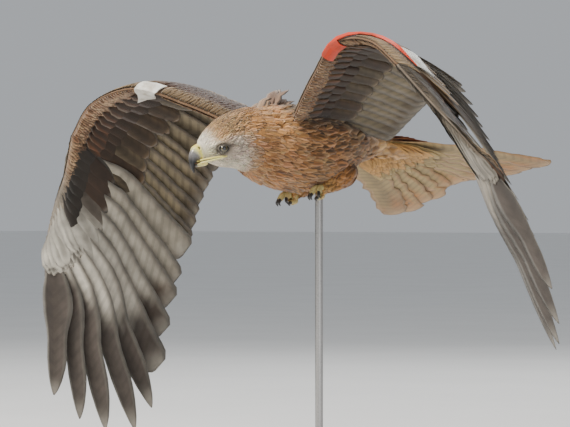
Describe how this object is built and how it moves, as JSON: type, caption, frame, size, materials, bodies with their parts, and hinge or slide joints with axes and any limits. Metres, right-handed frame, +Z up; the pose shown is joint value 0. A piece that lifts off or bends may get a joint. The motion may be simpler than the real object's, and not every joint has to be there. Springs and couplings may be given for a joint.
{
  "type": "flying bird of prey on a display stand",
  "caption": "Still life-size bird of prey in flight, wings raised at the wrist and hands drooping, forked tail fanned, held by a round base and a rod.",
  "frame": {"origin": "centre of the stand base's underside, on the floor", "axes": "+Z up, -Y the way the bird flies, +X the bird's left side"},
  "size_m": [0.8173, 0.6103, 0.5391],
  "materials": {
    "plumage": "matte feathers, rufous brown with dark streaks",
    "head_plumage": "matte feathers, buff and pale grey with dark streaks",
    "flight_feathers": "matte dark brown vanes, pale at the base below",
    "tail_feathers": "matte rufous vanes with thin dark bars",
    "cere": "waxy yellow skin",
    "horn": "smooth dark horn",
    "eye": "wet amber iris with a black pupil",
    "foot_skin": "scaly yellow skin",
    "tag_red": "matte orange-red sheet",
    "tag_white": "matte white sheet",
    "stand_wood": "dark satin wood",
    "stand_metal": "satin steel"
  },
  "bodies": {
    "root": {"head": "head_plumage", "neck": "plumage", "torso": "plumage", "tail": "tail_feathers", "cere": "cere", "bill_upper": "horn", "bill_lower": "cere", "eye_left": "eye", "eye_right": "eye", "wing_left_arm": "flight_feathers", "wing_left_hand": "flight_feathers", "wing_right_arm": "flight_feathers", "wing_right_hand": "flight_feathers", "tag_left": "tag_red", "tag_left_panel": "tag_white", "tag_right": "tag_white", "thigh_left": "plumage", "foot_left": "foot_skin", "claw_1_left": "horn", "claw_2_left": "horn", "claw_3_left": "horn", "claw_4_left": "horn", "thigh_right": "plumage", "foot_right": "foot_skin", "claw_1_right": "horn", "claw_2_right": "horn", "claw_3_right": "horn", "claw_4_right": "horn", "stand_base": "stand_wood", "stand_rod": "stand_metal"}
  },
  "joints": []
}
